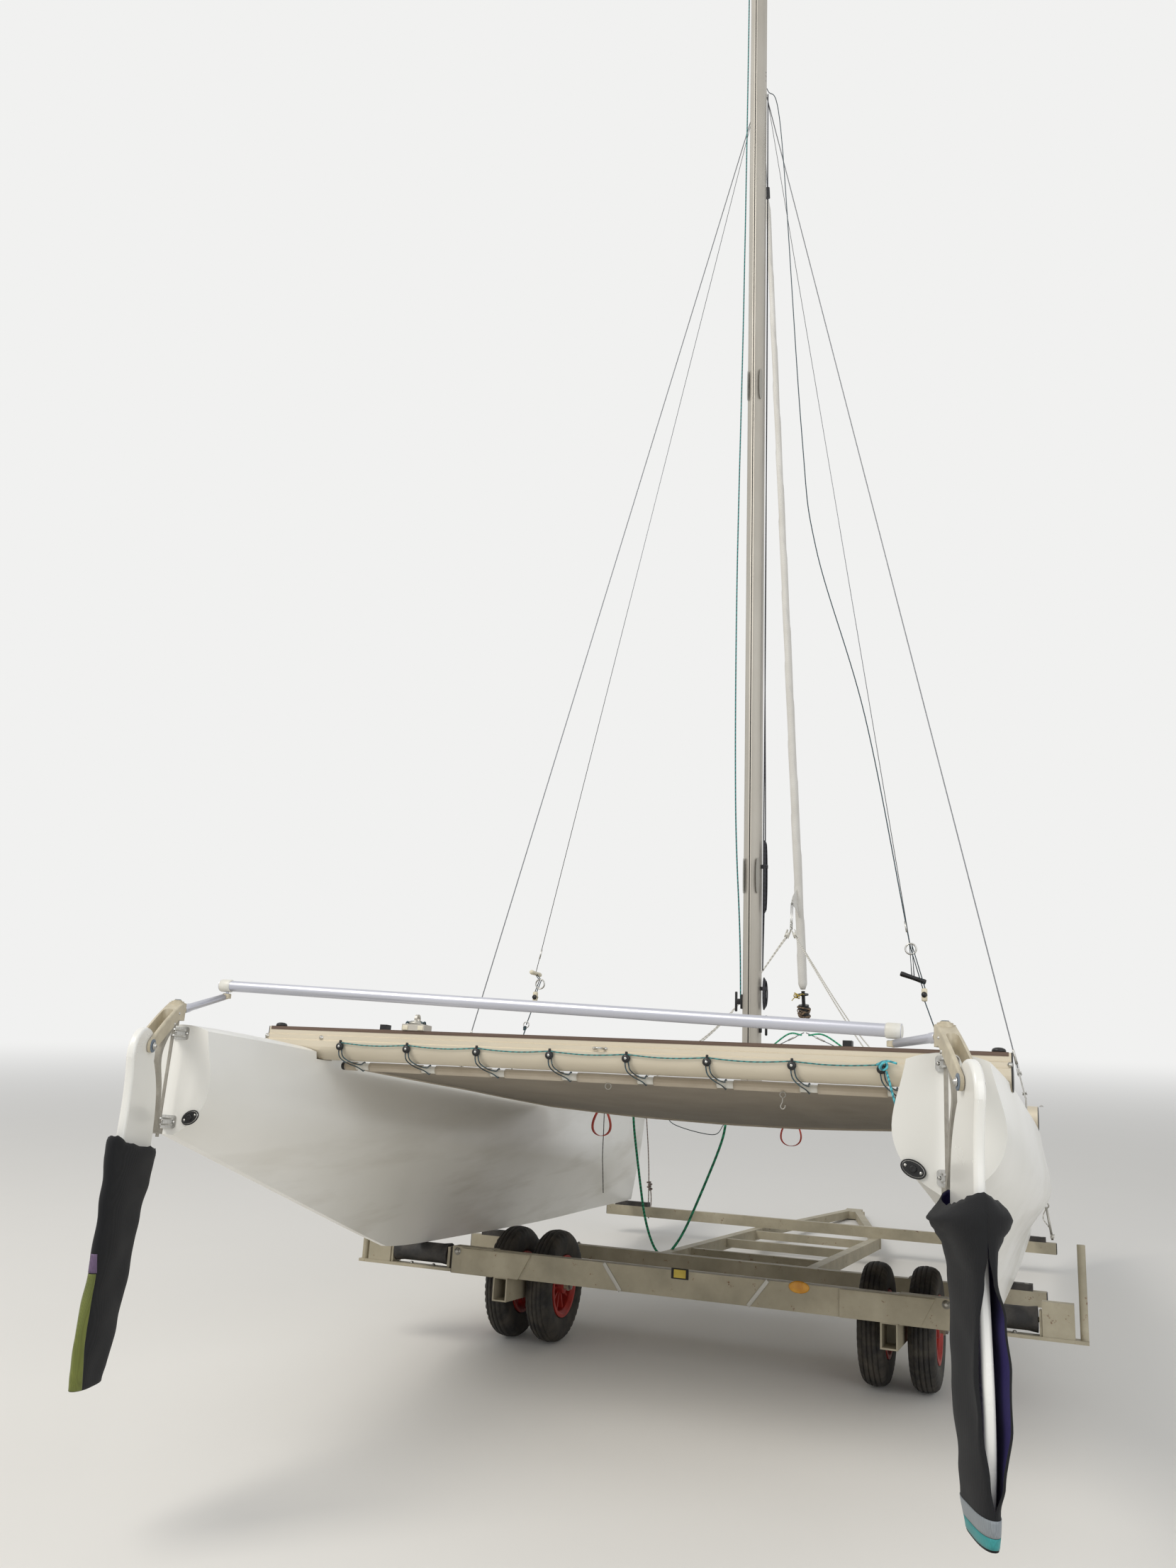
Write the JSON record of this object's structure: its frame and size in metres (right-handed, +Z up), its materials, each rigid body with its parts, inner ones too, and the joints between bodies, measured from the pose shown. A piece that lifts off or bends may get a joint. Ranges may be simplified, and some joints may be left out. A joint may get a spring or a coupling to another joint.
{
  "type": "sailing dinghy",
  "caption": "Twin-hulled beach sailing boat with mast up, rolled jib and covered rudders, parked bows down on a wheeled launching trolley with a low drawbar.",
  "frame": {"origin": "on the ground under the middle of the overall length and width", "axes": "+X towards the bows, +Y to port, +Z up; the ground is level and the boat lies bows down on it as it is parked"},
  "size_m": [5.2255, 2.51, 7.329],
  "materials": {
    "trolley_paint": "weathered",
    "stainless": "satin",
    "white_plastic": "satin",
    "black_plastic": "matt",
    "pad_rubber": "matt",
    "gelcoat": "gloss",
    "sail_cloth": "woven",
    "anodised": "satin",
    "bare_alloy": "satin",
    "rim_paint": "weathered",
    "cover_cloth": "woven",
    "net_cloth": "woven",
    "tyre": "matt"
  },
  "bodies": {
    "boat_and_trolley": {"axle_hanger_port": "trolley_paint", "axle_hanger_starboard": "trolley_paint", "bridle_port": "stainless", "bridle_starboard": "stainless", "chainplates": "stainless", "deck_hatches": "white_plastic", "forestay": "stainless", "furler": "black_plastic", "hull_pads": "pad_rubber", "hull_port": "gelcoat", "hull_starboard": "gelcoat", "jib_roll": "sail_cloth", "keel_roller_port": "pad_rubber", "keel_roller_starboard": "pad_rubber", "main_beam": "anodised", "mast_step": "bare_alloy", "rear_beam": "anodised", "roller_bracket_port": "trolley_paint", "roller_bracket_starboard": "trolley_paint", "shroud_port": "stainless", "shroud_starboard": "stainless", "track_stops": "black_plastic", "trampoline": "net_cloth", "trampoline_hem_tube": "white_plastic", "transom_fittings_port": "stainless", "transom_fittings_starboard": "stainless", "trolley_drawbar": "trolley_paint", "trolley_front_crossbeam": "trolley_paint", "trolley_middle_crossbeam": "trolley_paint", "trolley_rear_crossbeam": "trolley_paint", "trolley_spine": "trolley_paint"},
    "mast": {"mast_tube": "bare_alloy", "mast_fittings": "bare_alloy"},
    "traveller": {"traveller_car": "bare_alloy"},
    "tiller": {"tiller_crossbar": "bare_alloy"},
    "rudder_port": {"rudder_stock_port": "anodised", "rudder_head_port": "anodised"},
    "blade_port": {"rudder_blade_port": "gelcoat", "rudder_cover_port": "cover_cloth"},
    "wheels_port": {"tyre_port_outer": "tyre", "tyre_port_inner": "tyre", "rim_port_outer": "rim_paint", "rim_port_inner": "rim_paint"},
    "rudder_starboard": {"rudder_stock_starboard": "anodised", "rudder_head_starboard": "anodised"},
    "blade_starboard": {"rudder_blade_starboard": "gelcoat", "rudder_cover_starboard": "cover_cloth"},
    "wheels_starboard": {"tyre_starboard_outer": "tyre", "tyre_starboard_inner": "tyre", "rim_starboard_outer": "rim_paint", "rim_starboard_inner": "rim_paint"}
  },
  "joints": [
    {"name": "mast_rotation", "type": "hinge", "parent": "boat_and_trolley", "child": "mast", "pos_m": [0.10551, 0, 0.91422], "axis": [0.0398, 0, 0.9992], "range_deg": [-35, 35]},
    {"name": "traveller_slide", "type": "slide", "parent": "boat_and_trolley", "child": "traveller", "axis": [0, 1, 0], "range_m": [-1.237, 0.053]},
    {"name": "steer_port", "type": "hinge", "parent": "boat_and_trolley", "child": "rudder_port", "pos_m": [-2.22914, 1.005, 1.15055], "axis": [0.1227, 0, 0.9924], "range_deg": [-54, 15]},
    {"name": "blade_lift_port", "type": "hinge", "parent": "rudder_port", "child": "blade_port", "pos_m": [-2.40353, 0.94521, 1.12376], "axis": [-0.3296, 0.9432, 0.0408], "range_deg": [0, 85]},
    {"name": "wheels_port_roll", "type": "hinge", "parent": "boat_and_trolley", "child": "wheels_port", "pos_m": [-0.5192, 0.673, 0.195], "axis": [0, 1, 0], "continuous": true},
    {"name": "steer_starboard", "type": "hinge", "parent": "boat_and_trolley", "child": "rudder_starboard", "pos_m": [-2.22914, -1.005, 1.15055], "axis": [0.1227, 0, 0.9924], "range_deg": [-54, 15]},
    {"name": "blade_lift_starboard", "type": "hinge", "parent": "rudder_starboard", "child": "blade_starboard", "pos_m": [-2.40353, -1.06479, 1.12376], "axis": [-0.3296, 0.9432, 0.0408], "range_deg": [0, 85]},
    {"name": "wheels_starboard_roll", "type": "hinge", "parent": "boat_and_trolley", "child": "wheels_starboard", "pos_m": [-0.5192, -0.673, 0.195], "axis": [0, 1, 0], "continuous": true},
    {"name": "tiller_link", "type": "hinge", "parent": "rudder_port", "child": "tiller", "pos_m": [-2.0425, 0.98186, 1.24637], "axis": [0.1227, 0, 0.9924], "range_deg": [-17, 59]}
  ],
  "couplings": [
    {"joint": "steer_starboard", "follows": "steer_port", "ratio": 1},
    {"joint": "tiller_link", "follows": "steer_port", "ratio": -1.08}
  ]
}
